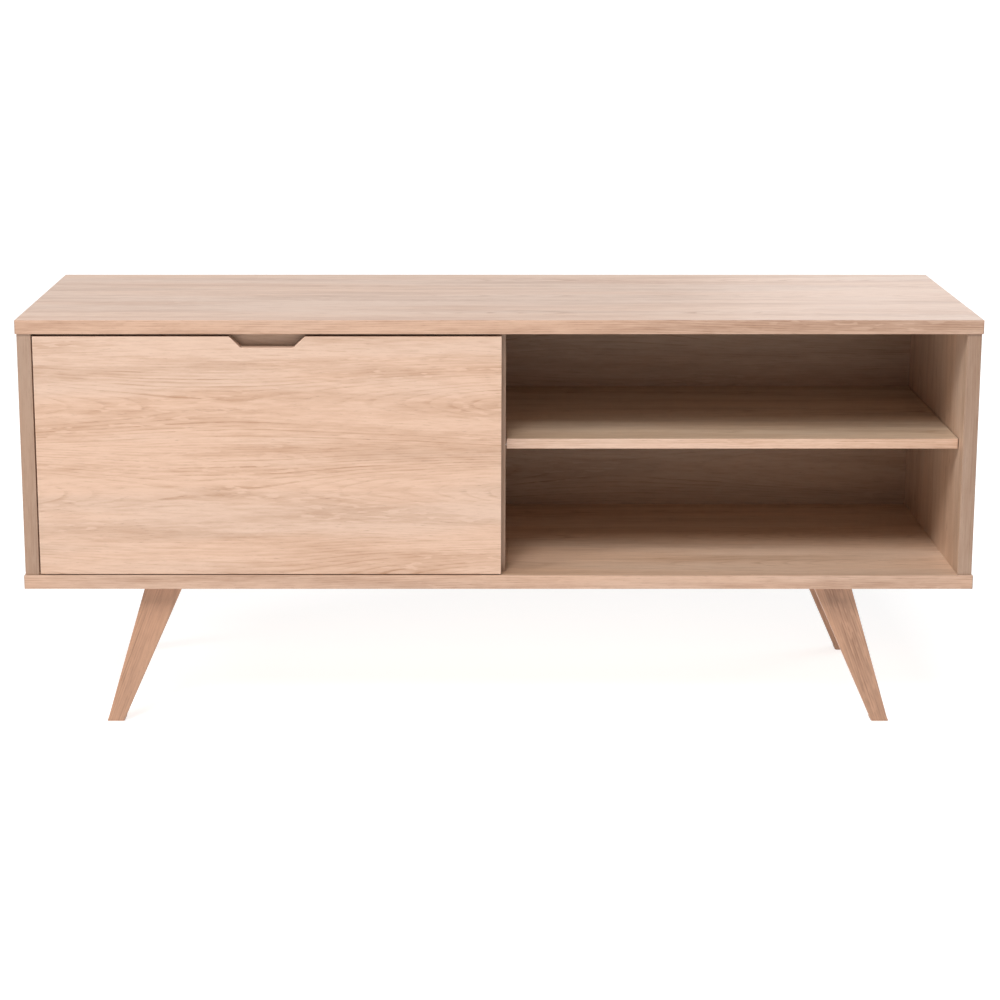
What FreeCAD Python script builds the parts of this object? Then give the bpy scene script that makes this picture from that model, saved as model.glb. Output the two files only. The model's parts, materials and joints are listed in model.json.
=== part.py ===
import FreeCAD, Part
import os

# TV bench in oak-veneered board on four splayed solid legs.  The left bay is closed by a top-hung
# sliding door that can be pushed across to close the open right bay instead.
#
# Frame: millimetres, origin on the floor at the centre of the outline, +X to the right seen from
# the front, +Y towards the back, +Z up.  The carcass is symmetric about X = 0.

V = FreeCAD.Vector
AXIS_X = V(1, 0, 0)
AXIS_Y = V(0, 1, 0)
AXIS_Z = V(0, 0, 1)

# ---------------------------------------------------------------- driving dimensions
WIDTH = 1500.0
DEPTH = 450.0
HEIGHT = 665.0
BOARD = 22.0                 # carcass board thickness
LEG_HEIGHT = 233.0           # floor to the underside of the bottom board
SIDE_INSET = 2.0             # top and bottom boards overhang the sides by this much
SIDE_SETBACK = 3.0           # sides stand back from the front edge of the boards

BACK_THICKNESS = 4.0
BACK_FRONT_Y = 213.0         # front face of the back panel
BACK_GROOVE = 5.0            # depth of the groove that holds the back panel
BACK_PLAY = 0.2              # play around the back panel's edges in its groove

DIVIDER_FRONT_Y = -201.0
SHELF_THICKNESS = 16.0
SHELF_TOP_Z = 469.0
SHELF_FRONT_Y = -191.0
SHELF_END_GAP = 1.5
SHELF_BACK_GAP = 1.0

RAIL_THICKNESS = 16.0
RAIL_HEIGHT = 60.0
RAIL_FRONT_Y = -200.0

DOOR_THICKNESS = 18.0
DOOR_PLANE_Y = -213.0        # middle of the door's thickness, and of the track
DOOR_SIDE_GAP = 2.0
DOOR_BOTTOM_GAP = 1.5
DOOR_TOP_GAP = 4.0
DOOR_PAST_CENTRE = 4.0       # how far the closed door reaches past the middle of the divider

CUTOUT_BOTTOM_WIDTH = 82.0
CUTOUT_DEPTH = 18.0          # sides at 45 degrees, so the mouth is wider by twice this
CUTOUT_CORNER_R = 4.0

TRACK_WIDTH = 14.0
TRACK_HEIGHT = 13.0
TRACK_WALL = 1.5
TRACK_SLOT = 5.0
TRACK_SCREW_COUNT = 5

WHEEL_R = 4.3
WHEEL_WIDTH = 2.4
WHEEL_LIFT = 0.2             # gap between the wheels and the track's lips
WHEEL_EDGE_GAP = 0.3         # gap between the wheels' outer faces and the track's walls
AXLE_R = 1.25
AXLE_CLEARANCE = 0.05
PLATE_THICKNESS = 3.0
PLATE_FIT = 0.2
PLATE_LENGTH = 70.0
PLATE_DEPTH_IN_DOOR = 30.0
PLATE_NECK_HALF = 28.0
PLATE_ABOVE_AXLE = 2.6
WHEEL_SPACING = 48.0
CARRIAGE_INSET = 75.0        # door edge to the middle of each carriage
STOP_LENGTH = 13.0
STOP_FACE_GAP = 0.7

GUIDE_PIN_R = 2.5
GUIDE_PIN_HEIGHT = 8.0
GUIDE_PLATE_THICKNESS = 2.0
GUIDE_PLATE_HALF_WIDTH = 6.0
GUIDE_PLATE_LEFT_X = -26.0
DOOR_GROOVE_WIDTH = 5.5
DOOR_GROOVE_DEPTH = 8.5

LEG_THICKNESS = 30.0         # size of a leg front to back
LEG_INSET_Y = 32.0           # front edge of the boards to the leg
LEG_FOOT_X = (604.5, 631.0)  # inner and outer edge on the floor line, distance from the middle
LEG_TOP_X = (501.0, 562.0)   # inner and outer edge under the bottom board
LEG_EDGE_R = 2.0
GLIDE_HEIGHT = 2.0
GLIDE_R = 9.0
GLIDE_NAIL_R = 1.2
GLIDE_NAIL_LENGTH = 14.0

BOLT_R = 4.0
BOLT_BELOW = 40.0            # wood-screw end, down into the leg
BOLT_ABOVE = 14.0            # machine-screw end, up into the insert nut
NUT_R = 6.0
NUT_LENGTH = 16.0
LOCK_DOWEL_R = 4.0
LOCK_DOWEL_OFFSET = 18.0     # bolt to the dowel that keeps the leg from turning
LOCK_DOWEL_HALF = 10.0

DOWEL_R = 4.0
DOWEL_IN_BOARD = 11.0
DOWEL_IN_PANEL = 21.0
SIDE_DOWEL_Y = (-165.0, -55.0, 65.0, 185.0)
DIVIDER_DOWEL_Y = (-150.0, 0.0, 150.0)
RAIL_DOWEL_R = 3.0
RAIL_DOWEL_IN_PANEL = 10.0
RAIL_DOWEL_IN_RAIL = 20.0
RAIL_DOWEL_EDGE = 15.0       # rail edge to its dowels

SHELF_PIN_R = 2.5
SHELF_PIN_IN_PANEL = 9.0
SHELF_PIN_OUT = 8.0
SHELF_PIN_Y = (-150.0, 160.0)

# Countersunk screws: (length, head radius, head depth, shank radius)
HANGER_SCREW = (15.0, 3.5, 2.0, 1.75)
TRACK_SCREW = (8.5, 2.9, 1.4, 1.4)
GUIDE_SCREW = (14.0, 3.0, 1.6, 1.5)
BACK_SCREW = (28.0, 3.6, 2.2, 1.75)
HANGER_SCREW_DX = (-20.0, 20.0)
BACK_SCREW_INSET = 50.0      # bay floor and ceiling to the outer back screws
TRACK_SCREW_INSET = 66.0     # side panel to the outermost track screw

HOLE_PLAY = 0.1              # radial play of dowels, pins, bolts and nails in their holes
ARRIS = 0.6                  # softened edges of boards, door and shelves
OVERCUT = 1.0                # how far a cutting tool runs past the face that it enters by

# ---------------------------------------------------------------- places worked out from them
HALF_W = WIDTH / 2
FRONT_Y = -DEPTH / 2
REAR_Y = DEPTH / 2
BOTTOM_TOP_Z = LEG_HEIGHT + BOARD
TOP_UNDER_Z = HEIGHT - BOARD
SIDE_OUT_X = HALF_W - SIDE_INSET
SIDE_IN_X = SIDE_OUT_X - BOARD
HALF_BOARD = BOARD / 2
DOOR_LEFT_X = -SIDE_IN_X + DOOR_SIDE_GAP
DOOR_RIGHT_X = DOOR_PAST_CENTRE
DOOR_MID_X = (DOOR_LEFT_X + DOOR_RIGHT_X) / 2
DOOR_BOTTOM_Z = BOTTOM_TOP_Z + DOOR_BOTTOM_GAP
DOOR_TOP_Z = TOP_UNDER_Z - DOOR_TOP_GAP
DOOR_FRONT_Y = DOOR_PLANE_Y - DOOR_THICKNESS / 2
DOOR_BACK_Y = DOOR_PLANE_Y + DOOR_THICKNESS / 2
DOOR_TRAVEL = -DOOR_LEFT_X - DOOR_RIGHT_X
LIP_TOP_Z = TOP_UNDER_Z + TRACK_WALL
TRACK_CAVITY_TOP_Z = TOP_UNDER_Z + TRACK_HEIGHT - TRACK_WALL
TRACK_CAVITY_HALF = TRACK_WIDTH / 2 - TRACK_WALL
AXLE_Z = LIP_TOP_Z + WHEEL_LIFT + WHEEL_R
CARRIAGE_X = {"left": DOOR_LEFT_X + CARRIAGE_INSET, "right": DOOR_RIGHT_X - CARRIAGE_INSET}
SHELF_UNDER_Z = SHELF_TOP_Z - SHELF_THICKNESS
SHELF_PIN_Z = SHELF_UNDER_Z - SHELF_PIN_R
RAIL_DOWEL_Z = (TOP_UNDER_Z - RAIL_DOWEL_EDGE, TOP_UNDER_Z - RAIL_HEIGHT + RAIL_DOWEL_EDGE)
RAIL_MID_Y = RAIL_FRONT_Y + RAIL_THICKNESS / 2
LEG_MID_Y = FRONT_Y + LEG_INSET_Y + LEG_THICKNESS / 2
LEG_BOLT_X = sum(LEG_TOP_X) / 2
SCREW_PITCH_X = 2 * (SIDE_IN_X - TRACK_SCREW_INSET) / (TRACK_SCREW_COUNT - 1)
TRACK_SCREW_X = [SCREW_PITCH_X * (i - (TRACK_SCREW_COUNT - 1) / 2) for i in range(TRACK_SCREW_COUNT)]
BACK_SCREW_Z = (BOTTOM_TOP_Z + BACK_SCREW_INSET, (BOTTOM_TOP_Z + TOP_UNDER_Z) / 2,
                TOP_UNDER_Z - BACK_SCREW_INSET)
GUIDE_SCREW_X = (GUIDE_PLATE_LEFT_X - GUIDE_PIN_R) / 2
HANGER_SCREW_Z = DOOR_TOP_Z - PLATE_DEPTH_IN_DOOR / 2


# ---------------------------------------------------------------- helpers
def block(x, y, z):
    """A box from three (low, high) pairs, given in either order."""
    low = V(min(x), min(y), min(z))
    return Part.makeBox(max(x) - low.x, max(y) - low.y, max(z) - low.z, low)


def rod(start, axis, length, radius):
    return Part.makeCylinder(radius, length, start, axis)


def joined(shapes):
    return shapes[0].fuse(shapes[1:]).removeSplitter()


def softened(shape, size):
    """The box-like shape with all its straight outer edges eased by a small chamfer."""
    return shape.makeChamfer(size, shape.Edges)


def prism(points, depth_from, depth_to):
    """An outline in the XZ plane pushed from one Y to another."""
    corners = [V(x, depth_from, z) for x, z in points]
    face = Part.Face(Part.makePolygon(corners + corners[:1]))
    return face.extrude(V(0, depth_to - depth_from, 0))


def screw(head, axis, size):
    """Countersunk screw with the middle of its head's face at `head`, pointing along `axis`."""
    length, head_r, head_depth, shank_r = size
    cone = Part.makeCone(head_r, shank_r, head_depth, head, axis)
    return joined([cone, rod(head, axis, length, shank_r)])


def screw_hole(head, axis, size):
    """The countersunk hole for that screw, a little deeper than its tip."""
    length, head_r, head_depth, shank_r = size
    return screw(head, axis, (length + HOLE_PLAY, head_r, head_depth, shank_r))


def save(name, shapes):
    """One STEP for a sub-part, made of one or more separate solids."""
    shape = shapes[0] if len(shapes) == 1 else Part.makeCompound(shapes)
    shape.exportStep(os.path.join("parts", name + ".step"))


# ---------------------------------------------------------------- dowels, pins and their holes
def dowel_places():
    """Centre line (x, y) of every upright dowel, by the panel that it holds."""
    side_x = SIDE_OUT_X - HALF_BOARD
    return {
        "left_side": [(-side_x, y) for y in SIDE_DOWEL_Y],
        "divider": [(0.0, y) for y in DIVIDER_DOWEL_Y],
        "right_side": [(side_x, y) for y in SIDE_DOWEL_Y],
    }


def upright_dowels(places, grow=0.0):
    """Dowels through both joints of an upright panel; grow makes their holes instead."""
    length = DOWEL_IN_BOARD + DOWEL_IN_PANEL + 2 * grow
    foot_z = (BOTTOM_TOP_Z - DOWEL_IN_BOARD - grow, TOP_UNDER_Z - DOWEL_IN_PANEL - grow)
    return [rod(V(x, y, z), AXIS_Z, length, DOWEL_R + grow) for x, y in places for z in foot_z]


def all_dowel_holes():
    return [hole for places in dowel_places().values() for hole in upright_dowels(places, HOLE_PLAY)]


def rail_dowels(grow=0.0):
    length = RAIL_DOWEL_IN_PANEL + RAIL_DOWEL_IN_RAIL + 2 * grow
    starts = (-SIDE_IN_X - RAIL_DOWEL_IN_PANEL - grow, -HALF_BOARD - RAIL_DOWEL_IN_RAIL - grow)
    return [rod(V(x, RAIL_MID_Y, z), AXIS_X, length, RAIL_DOWEL_R + grow)
            for x in starts for z in RAIL_DOWEL_Z]


def shelf_pins(inner_x, outer_x, grow=0.0):
    """Four pins under one shelf, two in each upright that the shelf spans between."""
    length = SHELF_PIN_IN_PANEL + SHELF_PIN_OUT + 2 * grow
    starts = (inner_x - SHELF_PIN_IN_PANEL - grow, outer_x - SHELF_PIN_OUT - grow)
    return [rod(V(x, y, SHELF_PIN_Z), AXIS_X, length, SHELF_PIN_R + grow)
            for x in starts for y in SHELF_PIN_Y]


def all_pin_holes():
    return (shelf_pins(-SIDE_IN_X, -HALF_BOARD, HOLE_PLAY)
            + shelf_pins(HALF_BOARD, SIDE_IN_X, HOLE_PLAY))


# ---------------------------------------------------------------- legs and their fixings
def leg_places():
    """(sign of x, y of its middle plane, name) of the four legs."""
    return [(-1, LEG_MID_Y, "front_left"), (1, LEG_MID_Y, "front_right"),
            (-1, -LEG_MID_Y, "rear_left"), (1, -LEG_MID_Y, "rear_right")]


def leg_edge_x(side, z):
    """Distance from the middle of a leg's inner (0) or outer (1) edge at height z."""
    return LEG_FOOT_X[side] + (LEG_TOP_X[side] - LEG_FOOT_X[side]) * z / LEG_HEIGHT


def leg_bolt(sx, y, grow=0.0):
    start = V(sx * LEG_BOLT_X, y, LEG_HEIGHT - BOLT_BELOW - grow)
    return rod(start, AXIS_Z, BOLT_BELOW + BOLT_ABOVE + 2 * grow, BOLT_R + grow)


def lock_dowel(sx, y, grow=0.0):
    """Dowel beside the bolt that keeps the leg from turning."""
    start = V(sx * (LEG_BOLT_X + LOCK_DOWEL_OFFSET), y, LEG_HEIGHT - LOCK_DOWEL_HALF - grow)
    return rod(start, AXIS_Z, 2 * (LOCK_DOWEL_HALF + grow), LOCK_DOWEL_R + grow)


def insert_nut(sx, y):
    start = V(sx * LEG_BOLT_X, y, LEG_HEIGHT)
    return rod(start, AXIS_Z, NUT_LENGTH, NUT_R).cut(leg_bolt(sx, y, HOLE_PLAY))


def glide(sx, y, grow=0.0):
    """Nail-on glide: a disc under the foot and a nail up into it."""
    start = V(sx * (leg_edge_x(0, GLIDE_HEIGHT) + leg_edge_x(1, GLIDE_HEIGHT)) / 2, y, 0)
    nail_length = GLIDE_HEIGHT + GLIDE_NAIL_LENGTH + grow
    return joined([rod(start, AXIS_Z, GLIDE_HEIGHT, GLIDE_R),
                   rod(start, AXIS_Z, nail_length, GLIDE_NAIL_R + grow)])


def leg(sx, y):
    """Solid leg that tapers and splays sideways, with eased long edges."""
    foot_z = GLIDE_HEIGHT
    outline = [(sx * leg_edge_x(0, foot_z), foot_z), (sx * leg_edge_x(1, foot_z), foot_z),
               (sx * LEG_TOP_X[1], LEG_HEIGHT), (sx * LEG_TOP_X[0], LEG_HEIGHT)]
    body = prism(outline, y - LEG_THICKNESS / 2, y + LEG_THICKNESS / 2)
    long_edges = [e for e in body.Edges if e.Length > LEG_HEIGHT - foot_z]
    body = body.makeFillet(LEG_EDGE_R, long_edges)
    return body.cut([make(sx, y, HOLE_PLAY) for make in (leg_bolt, lock_dowel, glide)])


# ---------------------------------------------------------------- door, track and carriages
def door_cutout():
    """Finger cut-out in the middle of the door's top edge, with rounded lower corners."""
    half = CUTOUT_BOTTOM_WIDTH / 2
    low_z = DOOR_TOP_Z - CUTOUT_DEPTH
    mouth = half + CUTOUT_DEPTH + OVERCUT
    outline = [(DOOR_MID_X - half, low_z), (DOOR_MID_X + half, low_z),
               (DOOR_MID_X + mouth, DOOR_TOP_Z + OVERCUT),
               (DOOR_MID_X - mouth, DOOR_TOP_Z + OVERCUT)]
    body = prism(outline, DOOR_FRONT_Y - OVERCUT, DOOR_BACK_Y + OVERCUT)
    low_edges = [e for e in body.Edges
                 if e.BoundBox.ZMax < low_z + OVERCUT and e.BoundBox.YLength > DOOR_THICKNESS]
    return body.makeFillet(CUTOUT_CORNER_R, low_edges)


def carriage(side, x):
    """Steel hanger plate: a wide foot in the door and a narrower neck up into the track."""
    half_t = PLATE_THICKNESS / 2
    y = (DOOR_PLANE_Y - half_t, DOOR_PLANE_Y + half_t)
    foot_z = (DOOR_TOP_Z - PLATE_DEPTH_IN_DOOR, DOOR_TOP_Z - HOLE_PLAY)
    foot = block((x - PLATE_LENGTH / 2, x + PLATE_LENGTH / 2), y, foot_z)
    neck = block((x - PLATE_NECK_HALF, x + PLATE_NECK_HALF), y,
                 (DOOR_TOP_Z - PLATE_DEPTH_IN_DOOR, AXLE_Z + PLATE_ABOVE_AXLE))
    axles = [rod(V(wx, y[0], AXLE_Z), AXIS_Y, PLATE_THICKNESS, AXLE_R + AXLE_CLEARANCE)
             for _, wx in wheelsets(side, x)]
    return joined([foot, neck]).cut(axles + [plate_screw_hole(x + dx) for dx in HANGER_SCREW_DX])


def hanger_screw(x, make=screw):
    """Screw from the door's back face through a hanger plate; make=screw_hole cuts its hole."""
    return make(V(x, DOOR_BACK_Y, HANGER_SCREW_Z), -AXIS_Y, HANGER_SCREW)


def plate_screw_hole(x):
    shank_r = HANGER_SCREW[-1]
    return rod(V(x, DOOR_BACK_Y, HANGER_SCREW_Z), -AXIS_Y, DOOR_THICKNESS, shank_r + HOLE_PLAY)


def carriage_slot(x):
    """Slot in the door's top edge for a hanger plate."""
    half_t = PLATE_THICKNESS / 2 + PLATE_FIT
    half_l = PLATE_LENGTH / 2 + PLATE_FIT
    return block((x - half_l, x + half_l), (DOOR_PLANE_Y - half_t, DOOR_PLANE_Y + half_t),
                 (DOOR_TOP_Z - PLATE_DEPTH_IN_DOOR - PLATE_FIT, DOOR_TOP_Z + OVERCUT))


def door_panel():
    body = block((DOOR_LEFT_X, DOOR_RIGHT_X), (DOOR_FRONT_Y, DOOR_BACK_Y),
                 (DOOR_BOTTOM_Z, DOOR_TOP_Z))
    half = DOOR_GROOVE_WIDTH / 2
    groove = block((DOOR_LEFT_X - OVERCUT, DOOR_RIGHT_X + OVERCUT),
                   (DOOR_PLANE_Y - half, DOOR_PLANE_Y + half),
                   (DOOR_BOTTOM_Z - OVERCUT, DOOR_BOTTOM_Z + DOOR_GROOVE_DEPTH))
    tools = [door_cutout(), groove]
    for x in CARRIAGE_X.values():
        tools.append(carriage_slot(x))
        tools += [hanger_screw(x + dx, screw_hole) for dx in HANGER_SCREW_DX]
    return softened(body, ARRIS).cut(tools)


def wheelsets(side, carriage_x):
    """(place, x) of the carriage's two wheelsets; the outer one is nearer the door's edge."""
    out = -WHEEL_SPACING / 2 if side == "left" else WHEEL_SPACING / 2
    return [("outer", carriage_x + out), ("inner", carriage_x - out)]


def wheel_outer_y():
    """Distance from the track's middle plane to a wheel's outer face."""
    return TRACK_CAVITY_HALF - WHEEL_EDGE_GAP


def axle(x):
    half = wheel_outer_y()
    return rod(V(x, DOOR_PLANE_Y - half, AXLE_Z), AXIS_Y, 2 * half, AXLE_R)


def wheel_pair(x):
    """Two nylon wheels with their hubs, pressed on one axle, either side of the plate."""
    wheels = []
    for sy in (-1, 1):
        outer_y = DOOR_PLANE_Y + sy * wheel_outer_y()
        tyre = rod(V(x, outer_y, AXLE_Z), -sy * AXIS_Y, WHEEL_WIDTH, WHEEL_R)
        bore = rod(V(x, outer_y, AXLE_Z), -sy * AXIS_Y, WHEEL_WIDTH, AXLE_R)
        wheels.append(tyre.cut(bore))
    return wheels


def track():
    """Aluminium C-section let into the underside of the top board, open downwards."""
    half = TRACK_WIDTH / 2
    outer = block((-SIDE_IN_X, SIDE_IN_X), (DOOR_PLANE_Y - half, DOOR_PLANE_Y + half),
                  (TOP_UNDER_Z, TOP_UNDER_Z + TRACK_HEIGHT))
    cavity = block((-HALF_W, HALF_W),
                   (DOOR_PLANE_Y - TRACK_CAVITY_HALF, DOOR_PLANE_Y + TRACK_CAVITY_HALF),
                   (LIP_TOP_Z, TRACK_CAVITY_TOP_Z))
    slot = block((-HALF_W, HALF_W),
                 (DOOR_PLANE_Y - TRACK_SLOT / 2, DOOR_PLANE_Y + TRACK_SLOT / 2),
                 (TOP_UNDER_Z - OVERCUT, LIP_TOP_Z + OVERCUT))
    return outer.cut([cavity, slot] + track_screws(screw_hole))


def track_screws(make=screw):
    """Screws up through the track into the top board; make=screw_hole cuts their holes."""
    return [make(V(x, DOOR_PLANE_Y, TRACK_CAVITY_TOP_Z), AXIS_Z, TRACK_SCREW) for x in TRACK_SCREW_X]


def track_stop(sx):
    """Plastic buffer clamped in the track, just past the outer wheel at that end of the travel."""
    wheel_edge = -DOOR_LEFT_X - CARRIAGE_INSET + WHEEL_SPACING / 2 + WHEEL_R
    face = wheel_edge + STOP_FACE_GAP
    half = TRACK_CAVITY_HALF - HOLE_PLAY
    return block((sx * face, sx * (face + STOP_LENGTH)), (DOOR_PLANE_Y - half, DOOR_PLANE_Y + half),
                 (LIP_TOP_Z + HOLE_PLAY, TRACK_CAVITY_TOP_Z - HOLE_PLAY))


def guide_plate_box():
    return block((GUIDE_PLATE_LEFT_X, DOOR_PAST_CENTRE),
                 (DOOR_PLANE_Y - GUIDE_PLATE_HALF_WIDTH, DOOR_PLANE_Y + GUIDE_PLATE_HALF_WIDTH),
                 (BOTTOM_TOP_Z - GUIDE_PLATE_THICKNESS, BOTTOM_TOP_Z))


def guide_screw(make=screw):
    return make(V(GUIDE_SCREW_X, DOOR_PLANE_Y, BOTTOM_TOP_Z), -AXIS_Z, GUIDE_SCREW)


def floor_guide():
    """Plate let flush into the bottom board, with the pin that runs in the door's groove."""
    plate = guide_plate_box().cut(guide_screw(screw_hole))
    pin = rod(V(0, DOOR_PLANE_Y, BOTTOM_TOP_Z - GUIDE_PLATE_THICKNESS), AXIS_Z,
              GUIDE_PLATE_THICKNESS + GUIDE_PIN_HEIGHT, GUIDE_PIN_R)
    return joined([plate, pin])


# ---------------------------------------------------------------- carcass
def back_groove():
    """The space of the back panel, a little oversize, cut into all four boards round it."""
    reach = BACK_GROOVE + BACK_PLAY
    return block((-SIDE_IN_X - reach, SIDE_IN_X + reach),
                 (BACK_FRONT_Y, BACK_FRONT_Y + BACK_THICKNESS),
                 (BOTTOM_TOP_Z - reach, TOP_UNDER_Z + reach))


def top_panel():
    body = block((-HALF_W, HALF_W), (FRONT_Y, REAR_Y), (TOP_UNDER_Z, HEIGHT))
    half = TRACK_WIDTH / 2
    recess = block((-SIDE_IN_X, SIDE_IN_X), (DOOR_PLANE_Y - half, DOOR_PLANE_Y + half),
                   (TOP_UNDER_Z - OVERCUT, TOP_UNDER_Z + TRACK_HEIGHT))
    tools = [recess, back_groove()] + all_dowel_holes() + track_screws(screw_hole)
    return softened(body, ARRIS).cut(tools)


def bottom_panel():
    body = block((-HALF_W, HALF_W), (FRONT_Y, REAR_Y), (LEG_HEIGHT, BOTTOM_TOP_Z))
    tools = [guide_plate_box(), guide_screw(screw_hole), back_groove()] + all_dowel_holes()
    for sx, y, _ in leg_places():
        start = V(sx * LEG_BOLT_X, y, LEG_HEIGHT - OVERCUT)
        tools.append(rod(start, AXIS_Z, NUT_LENGTH + OVERCUT, NUT_R))
        tools.append(lock_dowel(sx, y, HOLE_PLAY))
    return softened(body, ARRIS).cut(tools)


def side_panel(sx):
    body = block((sx * SIDE_IN_X, sx * SIDE_OUT_X), (FRONT_Y + SIDE_SETBACK, REAR_Y),
                 (BOTTOM_TOP_Z, TOP_UNDER_Z))
    return body.cut([back_groove()] + all_dowel_holes() + all_pin_holes() + rail_dowels(HOLE_PLAY))


def divider_panel():
    body = block((-HALF_BOARD, HALF_BOARD), (DIVIDER_FRONT_Y, BACK_FRONT_Y),
                 (BOTTOM_TOP_Z, TOP_UNDER_Z))
    tools = all_dowel_holes() + all_pin_holes() + rail_dowels(HOLE_PLAY) + back_screws(screw_hole)
    return body.cut(tools)


def back_panel():
    body = block((-SIDE_IN_X - BACK_GROOVE, SIDE_IN_X + BACK_GROOVE),
                 (BACK_FRONT_Y, BACK_FRONT_Y + BACK_THICKNESS),
                 (BOTTOM_TOP_Z - BACK_GROOVE, TOP_UNDER_Z + BACK_GROOVE))
    return body.cut(back_screws(screw_hole))


def back_screws(make=screw):
    """Screws through the back panel into the divider; make=screw_hole cuts their holes."""
    return [make(V(0, BACK_FRONT_Y + BACK_THICKNESS, z), -AXIS_Y, BACK_SCREW) for z in BACK_SCREW_Z]


def front_rail():
    """Rail under the top board behind the door, which stiffens the wide top."""
    body = block((-SIDE_IN_X, -HALF_BOARD), (RAIL_FRONT_Y, RAIL_FRONT_Y + RAIL_THICKNESS),
                 (TOP_UNDER_Z - RAIL_HEIGHT, TOP_UNDER_Z))
    return body.cut(rail_dowels(HOLE_PLAY))


def shelf(inner_x, outer_x):
    body = block((inner_x + SHELF_END_GAP, outer_x - SHELF_END_GAP),
                 (SHELF_FRONT_Y, BACK_FRONT_Y - SHELF_BACK_GAP), (SHELF_UNDER_Z, SHELF_TOP_Z))
    return softened(body, ARRIS)


# ---------------------------------------------------------------- the assembly
def save_carcass():
    save("top_panel", [top_panel()])
    save("bottom_panel", [bottom_panel()])
    save("left_side_panel", [side_panel(-1)])
    save("right_side_panel", [side_panel(1)])
    save("divider_panel", [divider_panel()])
    save("back_panel", [back_panel()])
    save("front_rail", [front_rail()])
    save("shelf_left", [shelf(-SIDE_IN_X, -HALF_BOARD)])
    save("shelf_right", [shelf(HALF_BOARD, SIDE_IN_X)])
    for name, places in dowel_places().items():
        save("dowels_" + name, upright_dowels(places))
    save("rail_dowels", rail_dowels())
    save("shelf_pins_left", shelf_pins(-SIDE_IN_X, -HALF_BOARD))
    save("shelf_pins_right", shelf_pins(HALF_BOARD, SIDE_IN_X))
    save("back_screws", back_screws())


def save_legs():
    places = leg_places()
    for sx, y, name in places:
        save("leg_" + name, [leg(sx, y)])
        save("glide_" + name, [glide(sx, y)])
    save("leg_bolts", [leg_bolt(sx, y) for sx, y, _ in places])
    save("leg_insert_nuts", [insert_nut(sx, y) for sx, y, _ in places])
    save("leg_dowels", [lock_dowel(sx, y) for sx, y, _ in places])


def save_door():
    save("door_panel", [door_panel()])
    for side, x in CARRIAGE_X.items():
        save("carriage_" + side, [carriage(side, x)])
        for place, wheel_x in wheelsets(side, x):
            save("axle_" + side + "_" + place, [axle(wheel_x)])
            save("wheels_" + side + "_" + place, wheel_pair(wheel_x))
    screw_x = [x + dx for x in CARRIAGE_X.values() for dx in HANGER_SCREW_DX]
    save("hanger_screws", [hanger_screw(x) for x in screw_x])
    save("door_track", [track()])
    save("track_stop_left", [track_stop(-1)])
    save("track_stop_right", [track_stop(1)])
    save("track_screws", track_screws())
    save("floor_guide", [floor_guide()])
    save("floor_guide_screw", [guide_screw()])


os.makedirs("parts", exist_ok=True)
save_carcass()
save_legs()
save_door()
print("door travel", DOOR_TRAVEL, "axle height", AXLE_Z)
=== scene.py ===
import json
import math
from collections import namedtuple

import bmesh
import bpy
from mathutils import Matrix, Vector


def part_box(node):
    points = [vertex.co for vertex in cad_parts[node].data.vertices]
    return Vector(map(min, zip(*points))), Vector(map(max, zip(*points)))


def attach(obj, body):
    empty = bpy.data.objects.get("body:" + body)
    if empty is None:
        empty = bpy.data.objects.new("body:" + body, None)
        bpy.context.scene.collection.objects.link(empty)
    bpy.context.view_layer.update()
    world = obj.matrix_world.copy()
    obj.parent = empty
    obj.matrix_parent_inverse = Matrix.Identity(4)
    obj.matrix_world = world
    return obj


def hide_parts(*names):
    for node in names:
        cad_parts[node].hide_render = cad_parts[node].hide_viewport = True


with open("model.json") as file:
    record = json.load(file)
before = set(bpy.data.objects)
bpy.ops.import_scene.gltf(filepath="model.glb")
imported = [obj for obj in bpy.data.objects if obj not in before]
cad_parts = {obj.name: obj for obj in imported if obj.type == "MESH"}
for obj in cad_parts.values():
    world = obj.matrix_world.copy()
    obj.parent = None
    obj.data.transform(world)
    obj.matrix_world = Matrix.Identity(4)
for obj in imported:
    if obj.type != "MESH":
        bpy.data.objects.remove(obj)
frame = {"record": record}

# TV bench in white-oiled oak: veneered boards with glued-on edge bands, solid oak legs and a
# top-hung sliding door.  Everything is in metres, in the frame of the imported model.

MM = 0.001
X, Y, Z = 0, 1, 2
NEAR = 0.01 * MM             # points closer than this share a place

# ---------------------------------------------------------------- build sizes
BAND = 0.8 * MM              # thickness of the edge bands
SEAM = 0.05 * MM             # open glue line between a band and its board
ARRIS = 0.75 * MM            # rounding of the outer long edges of a band
CRISP = 0.12 * MM            # sanding of every other edge
DOOR_ARRIS = 0.9 * MM
LEG_ARRIS = 2.4 * MM
FOOT_ARRIS = 0.9 * MM
GROOVE_PLAY = 0.2 * MM
CUTOUT_WIDTH = 82 * MM       # finger cut-out, at its bottom
CUTOUT_DEPTH = 18 * MM
CUTOUT_CORNER = 4 * MM
GUIDE_GROOVE = (5.5 * MM, 8.5 * MM)
PLATE_PLAY = 0.2 * MM
LEG_CORNERS = ("front_left", "front_right", "rear_left", "rear_right")
GLIDE_HEIGHT = 2 * MM
GLIDE_RIM = 0.8 * MM
GLIDE_NAIL = 1.2 * MM
SCREW_HEAD = 2.2 * MM        # back screws: depth and rim of the head, shank radius, tip length
SCREW_RIM = 0.2 * MM
SCREW_SHANK = 1.75 * MM
SCREW_TIP = 5 * MM
SCREW_CROSS = (4.2 * MM, 0.9 * MM, 1.3 * MM)
PIN_CHAMFER = 0.3 * MM       # shelf pins

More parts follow.
